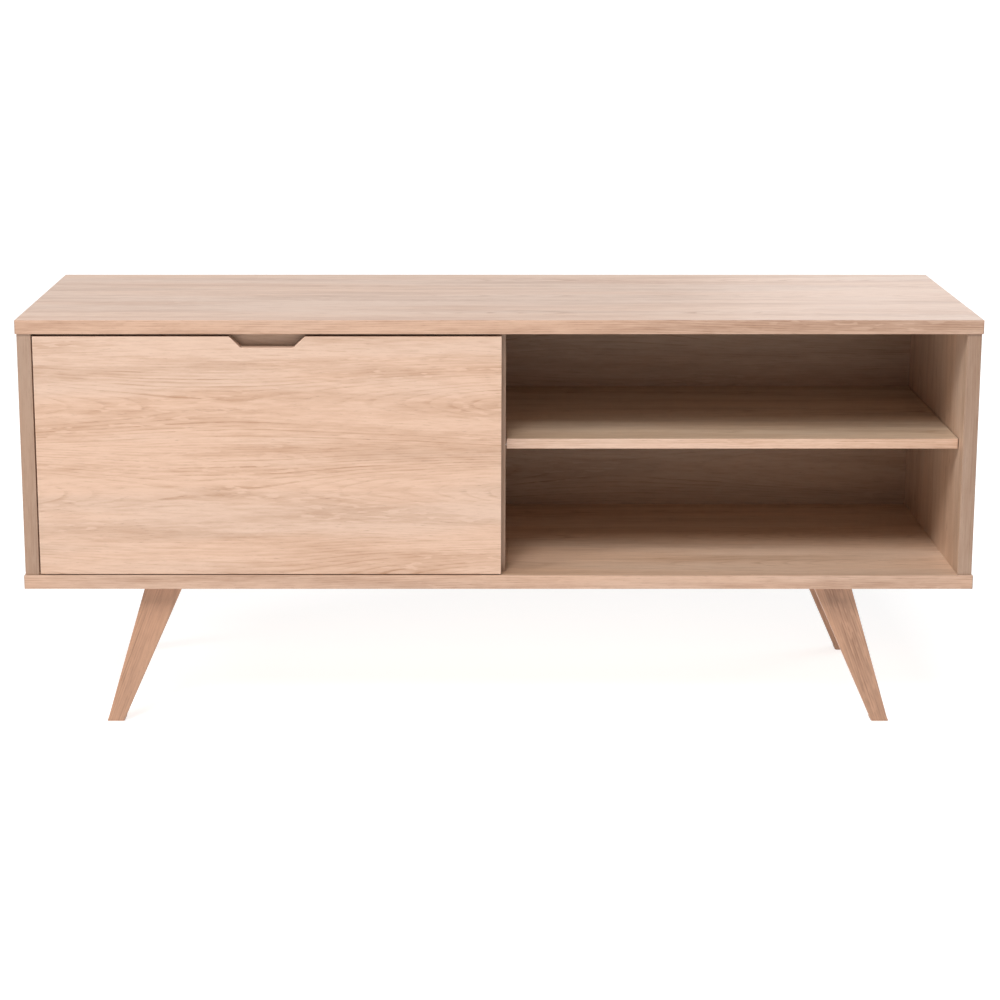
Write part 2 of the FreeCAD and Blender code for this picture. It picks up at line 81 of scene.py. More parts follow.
# ---------------------------------------------------------------- veneer layout
LEAF = 150 * MM              # width of a leaf of veneer
WIDE_LEAF = 160 * MM         # top and bottom board
UPRIGHT_LEAF = 130 * MM      # sides, divider and back panel
DOOR_LEAF = 142 * MM
CREST = 200 * MM             # where along a part its arches meet, seen from its middle
DOOR_CREST = -70 * MM
DOOR_HEART = 84 * MM         # height of one leaf's middle line over the door's middle
STRAIGHT_LEAF = 400 * MM     # bands and legs are cut from beside the heart: straight grain
STRAIGHT_HEART = 110 * MM

# ---------------------------------------------------------------- light levels
FLOOR_GLOW = 0.78            # light that the floor gives off by itself
FLOOR_RADIUS = 60.0
SEEN_WHITE = 1.0             # surroundings as the camera and reflections see them
AMBIENT = 0.10               # surroundings as a light
SOFTBOX = (1.6, 1.2)         # width and height

# ---------------------------------------------------------------- camera
SENSOR = 36.0                # width in millimetres
LENS = 79.97
CAMERA_AT = (-0.05, -3.603, 1.273)
CAMERA_TILT = 10.97          # degrees below level
CAMERA_SHIFT = (0.0331, -0.15)
CAMERA_REACH = 200.0         # nothing past this is drawn


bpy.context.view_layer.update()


# ---------------------------------------------------------------- mesh helpers
def new_piece(name, bm):
    """A mesh object made from bm, with its faces turned outward."""
    bmesh.ops.recalc_face_normals(bm, faces=bm.faces)
    mesh = bpy.data.meshes.new(name)
    bm.to_mesh(mesh)
    bm.free()
    obj = bpy.data.objects.new(name, mesh)
    bpy.context.collection.objects.link(obj)
    return obj


def block_mesh(low, high):
    """A plain block between two corners, to be rounded or to cut with."""
    bm = bmesh.new()
    bmesh.ops.create_cube(bm, size=1.0)
    size = Vector(high) - Vector(low)
    middle = (Vector(high) + Vector(low)) / 2
    for v in bm.verts:
        v.co = Vector(c * s for c, s in zip(v.co, size)) + middle
    return bm


def round_edges(bm, edges, radius, segments=3):
    bmesh.ops.bevel(bm, geom=edges, offset=radius, segments=segments, profile=0.5, affect="EDGES",
                    clamp_overlap=True)


def box_of(node):
    """Low and high corner of a CAD node."""
    low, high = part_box(node)
    return Vector(low), Vector(high)


def angled(edge, degrees):
    """Whether two faces meet in the edge and turn by more than so many degrees."""
    return edge.is_manifold and edge.calc_face_angle() > math.radians(degrees)


def lies_at(edge, axis, level):
    """Whether both ends of the edge lie at a level of an axis."""
    return all(abs(v.co[axis] - level) < NEAR for v in edge.verts)


def soft_block(name, low, high, outward=None):
    """A block with sanded edges.  The edges of its outward face, (axis, sign), get the full arris."""
    bm = block_mesh(low, high)
    if outward is not None:
        axis, sign = outward
        face_at = (low if sign < 0 else high)[axis]
        round_edges(bm, [e for e in bm.edges if lies_at(e, axis, face_at)], ARRIS)
    round_edges(bm, [e for e in bm.edges if angled(e, 80)], CRISP, 1)
    return new_piece(name, bm)


def carve(piece, cutters):
    """Cuts the other objects' shapes out of the piece, for good."""
    for cutter in cutters:
        cut = piece.modifiers.new("cut", "BOOLEAN")
        cut.operation = "DIFFERENCE"
        cut.solver = "EXACT"
        cut.object = cutter
    graph = bpy.context.evaluated_depsgraph_get()
    mesh = bpy.data.meshes.new_from_object(piece.evaluated_get(graph))
    piece.modifiers.clear()
    piece.data = mesh


def drop(objects):
    for obj in objects:
        bpy.data.objects.remove(obj, do_unlink=True)


def shade(piece):
    """Smooth shading that keeps flat faces flat and edges over 35 degrees sharp."""
    for face in piece.data.polygons:
        face.use_smooth = True
    piece.data.set_sharp_from_angle(angle=math.radians(35))
    keep_flat = piece.modifiers.new("flat faces", "WEIGHTED_NORMAL")
    keep_flat.keep_sharp = True


def dress(piece, body, material, nodes=()):
    """Finish, motion and identity of a piece."""
    piece.data.materials.clear()
    piece.data.materials.append(material)
    shade(piece)
    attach(piece, body)
    if nodes:
        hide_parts(*nodes)


def node_object(name):
    """The Blender object of a CAD node."""
    return bpy.data.objects[name]


# ---------------------------------------------------------------- shader helpers
class Shader:
    """A procedural material, and short calls that add its nodes."""

    def __init__(self, name):
        self.material = bpy.data.materials.new(name)
        self.material.use_nodes = True
        self.tree = self.material.node_tree
        self.surface = self.tree.nodes["Principled BSDF"]
        self.place = self.add("ShaderNodeTexCoord").outputs["Object"]

    def add(self, kind, **settings):
        node = self.tree.nodes.new(kind)
        for key, value in settings.items():
            setattr(node, key, value)
        return node

    def put(self, socket, value):
        if isinstance(value, bpy.types.NodeSocket):
            self.tree.links.new(value, socket)
        else:
            socket.default_value = value

    def math(self, operation, *values, clamp=False):
        node = self.add("ShaderNodeMath", operation=operation, use_clamp=clamp)
        for socket, value in zip(node.inputs, values):
            self.put(socket, value)
        return node.outputs[0]

    def plus(self, first, second):
        return self.math("ADD", first, second)

    def minus(self, first, second):
        return self.math("SUBTRACT", first, second)

    def times(self, first, second):
        return self.math("MULTIPLY", first, second)

    def split(self, vector):
        node = self.add("ShaderNodeSeparateXYZ")
        self.put(node.inputs[0], vector)
        return list(node.outputs)

    def join(self, x, y, z):
        node = self.add("ShaderNodeCombineXYZ")
        for socket, value in zip(node.inputs, (x, y, z)):
            self.put(socket, value)
        return node.outputs[0]

    def moved(self, vector, origin):
        node = self.add("ShaderNodeVectorMath", operation="SUBTRACT")
        self.put(node.inputs[0], vector)
        self.put(node.inputs[1], origin)
        return node.outputs[0]

    def turned(self, vector, rotation):
        node = self.add("ShaderNodeMapping")
        self.put(node.inputs["Vector"], vector)
        self.put(node.inputs["Rotation"], rotation)
        return node.outputs[0]

    def noise(self, vector, scale=1.0, detail=2.0, roughness=0.5):
        node = self.add("ShaderNodeTexNoise")
        self.put(node.inputs["Vector"], vector)
        self.put(node.inputs["Scale"], scale)
        self.put(node.inputs["Detail"], detail)
        self.put(node.inputs["Roughness"], roughness)
        return node.outputs["Fac"]

    def spread(self, value, low, high, to_low=0.0, to_high=1.0, smooth=True):
        """Maps low..high on to to_low..to_high, clamped."""
        kind = "SMOOTHSTEP" if smooth else "LINEAR"
        node = self.add("ShaderNodeMapRange", interpolation_type=kind)
        for socket, number in zip(node.inputs, (value, low, high, to_low, to_high)):
            self.put(socket, number)
        return node.outputs[0]

    def mix(self, amount, first, second, blend="MIX"):
        node = self.add("ShaderNodeMix", data_type="RGBA", blend_type=blend)
        self.put(node.inputs[0], amount)
        self.put(node.inputs[6], first)
        self.put(node.inputs[7], second)
        return node.outputs[2]

    def finish(self, color=None, roughness=None, height=None, depth=0.0002, strength=0.5, **constants):
        """Connects what varies and sets what is the same all over the surface."""
        if color is not None:
            self.put(self.surface.inputs["Base Color"], color)
        if roughness is not None:
            self.put(self.surface.inputs["Roughness"], roughness)
        if height is not None:
            bump = self.add("ShaderNodeBump")
            self.put(bump.inputs["Strength"], strength)
            self.put(bump.inputs["Distance"], depth)
            self.put(bump.inputs["Height"], height)
            self.put(self.surface.inputs["Normal"], bump.outputs[0])
        for key, value in constants.items():
            socket = key.replace("_", " ").title().replace("Ior", "IOR")
            self.surface.inputs[socket].default_value = value
        return self.material


# ---------------------------------------------------------------- oak colours
def srgb(r, g, b):
    """Linear colour from 0..255 screen values."""
    def linear(c):
        c /= 255
        return c / 12.92 if c <= 0.04045 else ((c + 0.055) / 1.055) ** 2.4
    return (linear(r), linear(g), linear(b), 1.0)


class Tone:
    """Colours of one oiled oak part: pale latewood, duller earlywood and brown pores."""

    def __init__(self, pale, dull, brown):
        self.pale, self.dull, self.brown = srgb(*pale), srgb(*dull), srgb(*brown)


TOP_TONE = Tone((213, 184, 166), (168, 124, 97), (114, 81, 57))
FACE_TONE = Tone((217, 184, 163), (174, 133, 104), (116, 80, 56))
EDGE_TONE = Tone((204, 169, 147), (146, 104, 77), (104, 70, 48))
INNER_TONE = Tone((211, 181, 159), (166, 130, 102), (114, 81, 57))
SHELF_TONE = Tone((197, 176, 155), (154, 126, 99), (106, 77, 55))
BACK_TONE = Tone((180, 149, 124), (146, 109, 81), (97, 67, 48))
SIDE_TONE = Tone((169, 139, 119), (137, 102, 78), (93, 64, 46))
LEG_TONE = Tone((186, 143, 116), (106, 70, 48), (86, 58, 39))
PEACH = (1.0, 0.966, 0.915, 1.0)     # casts that the wood takes in patches
SANDY = (0.975, 0.983, 0.97, 1.0)

# ---------------------------------------------------------------- oak grain
# Noise drawn out along the grain: waves per metre along and across it, octaves, a shift that keeps
# it apart from the others, and the two values between which its marks fade in.
Wave = namedtuple("Wave", "along across octaves shift low high", defaults=(0.0, 1.0))

WOBBLE = Wave(5.0, 28.0, 2.0, 2.0)                      # uneven width of a year
VIGOUR = Wave(1.7, 17.0, 1.0, 8.0, 0.35, 0.62)          # where year lines are strong
UNBROKEN = Wave(18.0, 130.0, 2.0, 41.0, 0.4, 0.62)      # where year lines have no gap
STREAK = Wave(2.2, 32.0, 3.0, 0.0, 0.38, 0.70)          # broad dull streaks
LINE = Wave(24.0, 230.0, 3.0, 3.0)                      # fine lines
FIBRE = Wave(40.0, 1300.0, 1.0, 6.0)
PORE = Wave(80.0, 1900.0, 1.0, 17.0, 0.60, 0.72)        # open pores, short dashes
RAY = Wave(34.0, 190.0, 1.0, 53.0, 0.57, 0.66)          # pale ray flecks
RAY_PATCH = Wave(3.0, 14.0, 1.0, 59.0, 0.45, 0.60)      # where ray flecks lie together
CAST_PATCH = Wave(1.5, 12.0, 2.0, 29.0, 0.4, 0.6)       # where the cast is peachy

YEAR_DULL = 0.62             # how far each kind of mark dulls the wood
STREAK_DULL = 0.42
LINE_DULL = 0.85
FIBRE_DULL = 0.22
RAY_PALE = 0.7
PORE_BROWN = 0.4

RING = 3.6 * MM              # a year's growth
WOBBLE_REACH = 3.2 * MM
PITH_DEPTH = 26 * MM         # how far behind a leaf's face the heart of the log lies
ARCH_REACH = 16 * MM         # how far it swings to draw the arches
ARCH_WAVES = 4.8             # that swing in radians per metre
SWAY_REACH = 16 * MM         # its wandering in depth and to the side
BEND_REACH = 30 * MM
SWAY_WAVES = 2.1
BEND_WAVES = 1.3
LEAF_STEP = 0.21             # change of that wandering from leaf to leaf
SWAY_SHIFT = 5.0
EARLY_IN = 0.1               # shares of a year in which earlywood sets in and fades out
EARLY_OUT = 0.5


class Grain:
    """Where a point lies in the wood of a part: u along the grain, v across a leaf, w into it."""

    def __init__(self, s, middle, axes, tilt, seed):
        self.s, self.seed = s, seed
        place = s.moved(s.place, middle)
        if tilt:
            place = s.turned(place, (0.0, tilt, 0.0))
        along, across = axes
        parts = s.split(place)
        self.u, self.v, self.w = parts[along], parts[across], parts[X + Y + Z - along - across]

    def drawn(self, wave):
        """The plain noise of a wave."""
        s = self.s
        depth = s.plus(s.times(self.w, wave.across), self.seed + wave.shift)
        at = s.join(s.times(self.u, wave.along), s.times(self.v, wave.across), depth)
        return s.noise(at, 1.0, wave.octaves, 0.55)

    def marks(self, wave, least=0.0, most=1.0):
        """The wave's marks, from least where there is none to most."""
        return self.s.spread(self.drawn(wave), wave.low, wave.high, least, most)


def log_radius(grain, leaf, heart, crest, figure):
    """Distance from the heart of a log that wanders a little, and anew in each leaf."""
    s = grain.s
    cell = s.plus(s.math("DIVIDE", s.minus(grain.v, heart), leaf), 0.5)
    lane = s.times(s.math("FLOOR", cell), LEAF_STEP)
    bend = s.noise(s.join(s.times(grain.u, BEND_WAVES), lane, grain.seed), 1.0, 1.0)
    sway = s.noise(s.join(s.times(grain.u, SWAY_WAVES), s.plus(lane, SWAY_SHIFT), grain.seed), 1.0, 2.0)
    side = s.times(s.minus(s.math("FRACT", cell), 0.5), leaf)
    side = s.plus(side, s.times(s.minus(bend, 0.5), BEND_REACH))
    swing = s.math("COSINE", s.times(s.minus(grain.u, crest), ARCH_WAVES))
    rise = s.plus(s.times(swing, ARCH_REACH * figure), s.times(sway, SWAY_REACH * figure))
    rise = s.plus(s.plus(rise, PITH_DEPTH), grain.w)
    radius = s.math("SQRT", s.plus(s.times(side, side), s.times(rise, rise)))
    return s.plus(radius, s.times(grain.drawn(WOBBLE), WOBBLE_REACH))


def year_lines(grain, radius):
    """The earlywood of every year, and the part of it that shows as a line."""
    s = grain.s
    years = s.math("DIVIDE", radius, RING)
    phase = s.math("FRACT", years)
    year = s.add("ShaderNodeTexWhiteNoise", noise_dimensions="1D")
    s.put(year.inputs["W"], s.math("FLOOR", years))
    early = s.times(s.spread(phase, 0.0, EARLY_IN), s.spread(phase, EARLY_OUT, EARLY_IN))
    weight = s.spread(year.outputs["Value"], 0.0, 1.0, 0.25, 1.0, smooth=False)
    vigour = s.times(weight, grain.marks(VIGOUR, 0.2))
    return early, s.times(early, s.times(vigour, grain.marks(UNBROKEN, 0.3)))


def oak_color(grain, tone, year_line, fibre, pore):
    """Pale wood that each kind of mark dulls, with ray flecks, pores and a patchy cast."""
    s = grain.s
    dull = s.plus(s.times(year_line, YEAR_DULL), grain.marks(STREAK, 0.0, STREAK_DULL))
    dull = s.plus(dull, s.times(s.minus(grain.drawn(LINE), 0.44), LINE_DULL))
    dull = s.math("ADD", dull, s.times(s.minus(fibre, 0.5), FIBRE_DULL), clamp=True)
    color = s.mix(dull, tone.pale, tone.dull)
    ray = s.times(grain.marks(RAY), grain.marks(RAY_PATCH))
    color = s.mix(s.times(ray, RAY_PALE), color, tone.pale)
    cast = s.mix(grain.marks(CAST_PATCH), SANDY, PEACH)
    color = s.mix(1.0, color, cast, "MULTIPLY")
    return s.mix(s.times(pore, PORE_BROWN), color, tone.brown)


def oak(name, middle, axes, seed, tone, leaf=LEAF, heart=0.0, crest=CREST, figure=1.0, tilt=0.0):
    """White-oiled oak veneer: matched leaves sliced from one log that lies along one axis.

    axes are those of the grain and of a leaf's width; leaf is that width.  Seen from the part's
    middle, heart is where the middle line of one leaf lies and crest where its arches meet.
    figure scales the arches and tilt turns the grain in the XZ plane.
    """
    s = Shader(name)
    grain = Grain(s, middle, axes, tilt, seed)
    early, year_line = year_lines(grain, log_radius(grain, leaf, heart, crest, figure))
    fibre = grain.drawn(FIBRE)
    pore = s.times(grain.marks(PORE), s.spread(early, 0.0, 1.0, 0.3, 1.0))
    color = oak_color(grain, tone, year_line, fibre, pore)
    rough = s.plus(s.times(fibre, 0.16), s.spread(year_line, 0.0, 1.0, 0.40, 0.47))
    height = s.minus(s.times(fibre, 0.25), s.times(pore, 0.8))
    height = s.minus(height, s.times(early, 0.2))
    return s.finish(color, rough, height, depth=0.18 * MM, strength=0.5, coat_weight=0.25,
                    coat_roughness=0.35)


# ---------------------------------------------------------------- other materials
BRUSH_LINES = 420.0          # waves per metre across the drawing lines and along them
BRUSH_RUNS = 5.0
ZINC_CRYSTALS = 900.0        # crystals per metre
BEECH_FLECKS = (900.0, 900.0, 260.0)


def brushed_metal(name, low, high, along, roughness):
    """Metal with drawing lines along one axis and faint clouding."""
    s = Shader(name)
    stretch = [BRUSH_LINES, BRUSH_LINES, BRUSH_LINES]
    stretch[along] = BRUSH_RUNS
    axes = [s.times(axis, k) for axis, k in zip(s.split(s.place), stretch)]
    line = s.noise(s.join(*axes), 1.0, 3.0)
    cloud = s.noise(s.place, 35.0, 3.0)
    tint = s.mix(s.times(s.plus(line, cloud), 0.5), srgb(*low), srgb(*high))
    rough = s.plus(s.times(line, 0.2), roughness)
    return s.finish(tint, rough, line, depth=0.03 * MM, strength=0.4, metallic=1.0)


def zinc_plate(name, low, high):
    """Zinc-plated steel: small crystal patches, each a little lighter or darker."""
    s = Shader(name)
    cells = s.add("ShaderNodeTexVoronoi")
    s.put(cells.inputs["Vector"], s.place)
    s.put(cells.inputs["Scale"], ZINC_CRYSTALS)
    grain = s.noise(s.place, 2500.0, 2.0)
    patch = s.split(cells.outputs["Color"])[0]
    tint = s.mix(patch, srgb(*low), srgb(*high))
    rough = s.plus(s.times(patch, 0.12), s.times(grain, 0.3))
    return s.finish(tint, rough, grain, depth=0.02 * MM, strength=0.3, metallic=1.0)


def nylon():
    """Dark moulded nylon with a fine spark-eroded texture."""
    s = Shader("dark_nylon")
    mottle = s.noise(s.place, 220.0, 3.0)
    pits = s.noise(s.place, 3200.0, 2.0)
    tint = s.mix(mottle, srgb(52, 46, 41), srgb(70, 63, 56))
    rough = s.plus(s.times(pits, 0.25), 0.4)
    return s.finish(tint, rough, pits, depth=0.03 * MM, strength=0.5)


def beech():
    """Raw beech: short dark ray flecks on a plain pale ground."""
    s = Shader("raw_beech")
    axes = [s.times(axis, k) for axis, k in zip(s.split(s.place), BEECH_FLECKS)]
    fleck = s.noise(s.join(*axes), 1.0, 2.0)
    ground = s.noise(s.place, 40.0, 3.0)
    tint = s.mix(ground, srgb(222, 184, 140), srgb(204, 162, 118))
    tint = s.mix(s.spread(fleck, 0.6, 0.7, 0.0, 0.6), tint, srgb(160, 112, 72))
    rough = s.plus(s.times(fleck, 0.2), 0.55)
    return s.finish(tint, rough, fleck, depth=0.04 * MM, strength=0.4)


def studio_floor():
    """Plain pale floor with a barely visible unevenness."""
    s = Shader("studio_floor")
    cloud = s.noise(s.place, 0.7, 2.0)
    tint = s.mix(cloud, (0.48, 0.48, 0.48, 1.0), (0.52, 0.52, 0.52, 1.0))
    rough = s.plus(s.times(cloud, 0.1), 0.8)
    return s.finish(tint, rough, specular_ior_level=0.1, emission_color=(1.0, 1.0, 1.0, 1.0),
                    emission_strength=FLOOR_GLOW)


# ---------------------------------------------------------------- banded boards
SIDES = {"left": (X, -1), "right": (X, 1), "front": (Y, -1), "back": (Y, 1), "bottom": (Z, -1)}
ALL_ROUND = ("left", "right", "front", "back")


def cut_bands(low, high, bands):
    """Splits a board's box into its core's corners and a (side, low, high) box for each band."""
    core_low, core_high = list(low), list(high)
    strips = []
    for side in bands:
        axis, sign = SIDES[side]
        strip_low, strip_high = core_low[:], core_high[:]
        if sign < 0:
            strip_high[axis] = strip_low[axis] + BAND
            core_low[axis] += BAND + SEAM
        else:
            strip_low[axis] = strip_high[axis] - BAND
            core_high[axis] -= BAND + SEAM
        strips.append((side, strip_low, strip_high))
    return core_low, core_high, strips


def edge_band(board_name, side, low, high, seed, tone):
    """One glued-on band: straight grain along its length, its outer edges rounded."""
    axis, sign = SIDES[side]
    strip = soft_block(board_name + "_" + side + "_band", low, high, (axis, sign))
    length = max((X, Y, Z), key=lambda a: high[a] - low[a])
    width = X + Y + Z - length - axis
    middle = (Vector(low) + Vector(high)) / 2
    material = oak(strip.name + "_oak", middle, (length, width), seed, tone, leaf=STRAIGHT_LEAF,
                   heart=STRAIGHT_HEART, figure=0.7)
    dress(strip, "carcass", material)


def board(name, node, axes, bands, seed, tones, bores=(), slots=(), **figure):
    """A veneered board in the place of a CAD node, with an edge band on each listed side.

    axes are those of the grain and of a leaf's width, and tones is (faces, bands).  bores are CAD
    nodes whose shapes are drilled out of it, slots are boxes (low, high) milled out.
    """
    face_tone, band_tone = tones
    low, high = box_of(node)
    core_low, core_high, strips = cut_bands(low, high, bands)
    cutters = [soft_block("slot", *slot) for slot in slots]
    core = soft_block(name, core_low, core_high)
    carve(core, cutters + [node_object(n) for n in bores])
    drop(cutters)
    material = oak(name + "_oak", (low + high) / 2, axes, seed, face_tone, **figure)
    dress(core, "carcass", material, [node])
    for i, (side, strip_low, strip_high) in enumerate(strips):
        edge_band(name, side, strip_low, strip_high, seed + 0.31 * (i + 1), band_tone)


def back_slot():
    """The groove that the back panel stands in: its edges have play, its faces have none."""
    low, high = box_of("back_panel")
    play = Vector((GROOVE_PLAY, 0, GROOVE_PLAY))
    return (low - play, high + play)


def make_top_and_bottom():
    dowels = ["dowels_left_side", "dowels_divider", "dowels_right_side"]
    leg_fittings = ["leg_insert_nuts", "leg_bolts", "leg_dowels"]
    board("top_board", "top_panel", (X, Y), ALL_ROUND, seed=1.7, tones=(TOP_TONE, EDGE_TONE),
          bores=dowels + ["track_screws"], slots=[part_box("door_track"), back_slot()], leaf=WIDE_LEAF)
    board("bottom_board", "bottom_panel", (X, Y), ALL_ROUND, seed=4.2, tones=(INNER_TONE, EDGE_TONE),
          bores=dowels + leg_fittings + ["floor_guide", "floor_guide_screw"],
          slots=[back_slot()], leaf=WIDE_LEAF)


def make_uprights():
    for side, seed in (("left", 6.1), ("right", 8.4)):
        board(side + "_side", side + "_side_panel", (Z, Y), ("front", "back"), seed,
              (INNER_TONE, SIDE_TONE), slots=[back_slot()], leaf=UPRIGHT_LEAF,
              bores=["dowels_" + side + "_side", "shelf_pins_" + side, "rail_dowels"])
    board("divider", "divider_panel", (Z, Y), ("front",), seed=9.9, tones=(INNER_TONE, SIDE_TONE),
          bores=["dowels_divider", "shelf_pins_left", "shelf_pins_right", "rail_dowels", "back_screws"],
          leaf=UPRIGHT_LEAF)


def make_rail_and_shelves():
    board("door_rail", "front_rail", (X, Z), ("bottom",), seed=12.3, tones=(INNER_TONE, INNER_TONE),
          bores=["rail_dowels"])
    for side, seed in (("left", 14.6), ("right", 16.8)):
        board(side + "_shelf", "shelf_" + side, (X, Y), ("front",), seed, (SHELF_TONE, FACE_TONE))


# ---------------------------------------------------------------- door
def cutout_outline(middle, top):
    """Finger cut-out in the XZ plane: 45 degree sides and rounded lower corners."""
    low = top - CUTOUT_DEPTH
    over = 2 * MM
    bend_from = CUTOUT_WIDTH / 2 - CUTOUT_CORNER * math.tan(math.radians(45 / 2))
    steps = 5
    turns = [math.radians(45 * i / steps) for i in range(steps + 1)]
    arc = [(bend_from + CUTOUT_CORNER * math.sin(t), low + CUTOUT_CORNER * (1 - math.cos(t)))
           for t in turns]
    right = arc + [(CUTOUT_WIDTH / 2 + CUTOUT_DEPTH + over, top + over)]
    left = [(-x, z) for x, z in reversed(right)]
    return [(middle + x, z) for x, z in left + right]


def prism(name, points, near, far):
    """An XZ outline pushed from Y = near to Y = far."""
    bm = bmesh.new()
    face = bm.faces.new([bm.verts.new((x, near, z)) for x, z in points])
    moved = bmesh.ops.extrude_face_region(bm, geom=[face])["geom"]
    for v in moved:
        if isinstance(v, bmesh.types.BMVert):
            v.co.y = far
    return new_piece(name, bm)


def soften_door(piece, front, back):
    """Rounds the edges where the door's front and back faces end."""
    bm = bmesh.new()
    bm.from_mesh(piece.data)
    bmesh.ops.dissolve_limit(bm, angle_limit=math.radians(1), verts=bm.verts, edges=bm.edges)
    rim = [e for e in bm.edges if angled(e, 60) and (lies_at(e, Y, front) or lies_at(e, Y, back))]
    round_edges(bm, rim, DOOR_ARRIS)
    bm.to_mesh(piece.data)
    bm.free()


def guide_groove(low, high):
    """Cutter for the groove along the door's bottom edge."""
    width, depth = GUIDE_GROOVE
    middle = (low.y + high.y) / 2
    return new_piece("groove", block_mesh((low.x - MM, middle - width / 2, low.z - MM),
                                          (high.x + MM, middle + width / 2, low.z + depth)))


def plate_pocket(node):
    """Cutter for the pocket that a hanger plate is let into."""
    play = Vector((PLATE_PLAY, PLATE_PLAY, PLATE_PLAY))
    low, high = box_of(node)
    return new_piece("plate_pocket", block_mesh(low - play, high + play))


def make_door():
    low, high = box_of("door_panel")
    middle = (low + high) / 2
    door = new_piece("door_leaf", block_mesh(low, high))
    cutout = prism("cutout", cutout_outline(middle.x, high.z), low.y - 5 * MM, high.y + 5 * MM)
    carve(door, [cutout])
    soften_door(door, low.y, high.y)
    cutters = [guide_groove(low, high), plate_pocket("carriage_left"), plate_pocket("carriage_right")]
    carve(door, cutters + [node_object("hanger_screws")])
    drop([cutout] + cutters)
    material = oak("door_oak", middle, (X, Z), 21.4, FACE_TONE, leaf=DOOR_LEAF, heart=DOOR_HEART,
                   crest=DOOR_CREST, figure=1.2)
    dress(door, "door", material, ["door_panel"])


# ---------------------------------------------------------------- legs
def leg_span(node, level):
    """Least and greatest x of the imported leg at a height."""
    xs = [v.co.x for v in node_object(node).data.vertices if abs(v.co.z - level) < NEAR]
    return min(xs), max(xs)


def leg_mesh(low, high, foot, top):
    """Four flat tapered faces from the foot's span of x to the top's, with rounded edges."""
    bm = bmesh.new()
    rings = []
    for (x0, x1), z in ((foot, low.z), (top, high.z)):
        corners = ((x0, low.y), (x1, low.y), (x1, high.y), (x0, high.y))
        rings.append([bm.verts.new((x, y, z)) for x, y in corners])
        bm.faces.new(rings[-1])
    below, above = rings
    for i in range(4):
        after = (i + 1) % 4
        bm.faces.new((below[i], below[after], above[after], above[i]))
    level = [e for e in bm.edges if lies_at(e, Z, low.z) or lies_at(e, Z, high.z)]
    round_edges(bm, [e for e in bm.edges if e not in level], LEG_ARRIS, 5)
    round_edges(bm, [e for e in bm.edges if lies_at(e, Z, low.z)], FOOT_ARRIS, 2)
    return bm


def make_leg(corner, seed):
    """Solid oak leg with the grain along it, bored for its bolt, dowel and glide."""
    node = "leg_" + corner
    low, high = box_of(node)
    foot, top = leg_span(node, low.z), leg_span(node, high.z)
    leg = new_piece("oak_leg_" + corner, leg_mesh(low, high, foot, top))
    carve(leg, [node_object(n) for n in ("leg_bolts", "leg_dowels", "glide_" + corner)])
    lean = math.atan2((sum(top) - sum(foot)) / 2, high.z - low.z)
    material = oak(leg.name + "_oak", (low + high) / 2, (Z, X), seed, LEG_TONE, leaf=STRAIGHT_LEAF,
                   heart=STRAIGHT_HEART, figure=0.5, tilt=-lean)
    dress(leg, "carcass", material, [node])


def make_legs():
    for i, corner in enumerate(LEG_CORNERS):
        make_leg(corner, 31.0 + 2.7 * i)


# ---------------------------------------------------------------- hardware
def solids_of(node):
    """Low and high corner of every separate solid of a CAD node."""
    bm = bmesh.new()
    bm.from_mesh(node_object(node).data)
    bmesh.ops.remove_doubles(bm, verts=bm.verts, dist=0.001 * MM)
    left = set(bm.verts)
    boxes = []
    while left:
        reached = [left.pop()]
        for v in reached:
            joined = [e.other_vert(v) for e in v.link_edges]
            fresh = [other for other in joined if other in left]
            left.difference_update(fresh)
            reached.extend(fresh)
        low = tuple(min(v.co[a] for v in reached) for a in (X, Y, Z))
        high = tuple(max(v.co[a] for v in reached) for a in (X, Y, Z))
        boxes.append((low, high))
    bm.free()
    return [(Vector(low), Vector(high)) for low, high in sorted(boxes)]


def turn(bm, profile, start, axis, steps=40):
    """Adds a turned part: profile is (distance along the axis, radius) pairs from the start."""
    part = bmesh.new()
    verts = [part.verts.new((radius, 0, along)) for along, radius in profile]
    edges = [part.edges.new(pair) for pair in zip(verts, verts[1:])]
    bmesh.ops.spin(part, geom=verts + edges, axis=(0, 0, 1), cent=(0, 0, 0), steps=steps,
                   angle=2 * math.pi, use_merge=True)
    bmesh.ops.remove_doubles(part, verts=part.verts, dist=0.0001 * MM)
    aim = Vector((0, 0, 1)).rotation_difference(axis).to_matrix().to_4x4()
    part.transform(Matrix.Translation(start) @ aim)
    mesh = bpy.data.meshes.new("turned")
    part.to_mesh(mesh)
    part.free()
    bm.from_mesh(mesh)
    bpy.data.meshes.remove(mesh)


def make_glide(corner, plastic):
    """Nail-on glide: a disc with a rounded rim and the nail that holds it."""
    node = "glide_" + corner
    low, high = solids_of(node)[0]
    radius = (high.x - low.x) / 2
    steps = 4
    rim = [math.pi / 2 * i / steps for i in range(1, steps + 1)]
    profile = [(0, 0), (0, radius - GLIDE_RIM)]
    profile += [(GLIDE_RIM * (1 - math.cos(t)), radius - GLIDE_RIM * (1 - math.sin(t))) for t in rim]
    profile += [(GLIDE_HEIGHT, radius), (GLIDE_HEIGHT, GLIDE_NAIL), (high.z - MM, GLIDE_NAIL)]
    profile += [(high.z, 0)]
    bm = bmesh.new()
    turn(bm, profile, Vector(((low.x + high.x) / 2, (low.y + high.y) / 2, low.z)), Vector((0, 0, 1)))
    dress(new_piece("nylon_" + node, bm), "carcass", plastic, [node])


def cross_recess(head):
    """Two crossed bars that cut a screwdriver's cross into a head that looks along +Y."""
    length, width, depth = SCREW_CROSS
    bars = []
    for across, tall in ((length, width), (width, length)):
        reach = Vector((across / 2, depth, tall / 2))
        bars.append(new_piece("cross", block_mesh(head - reach, head + reach)))
    return bars


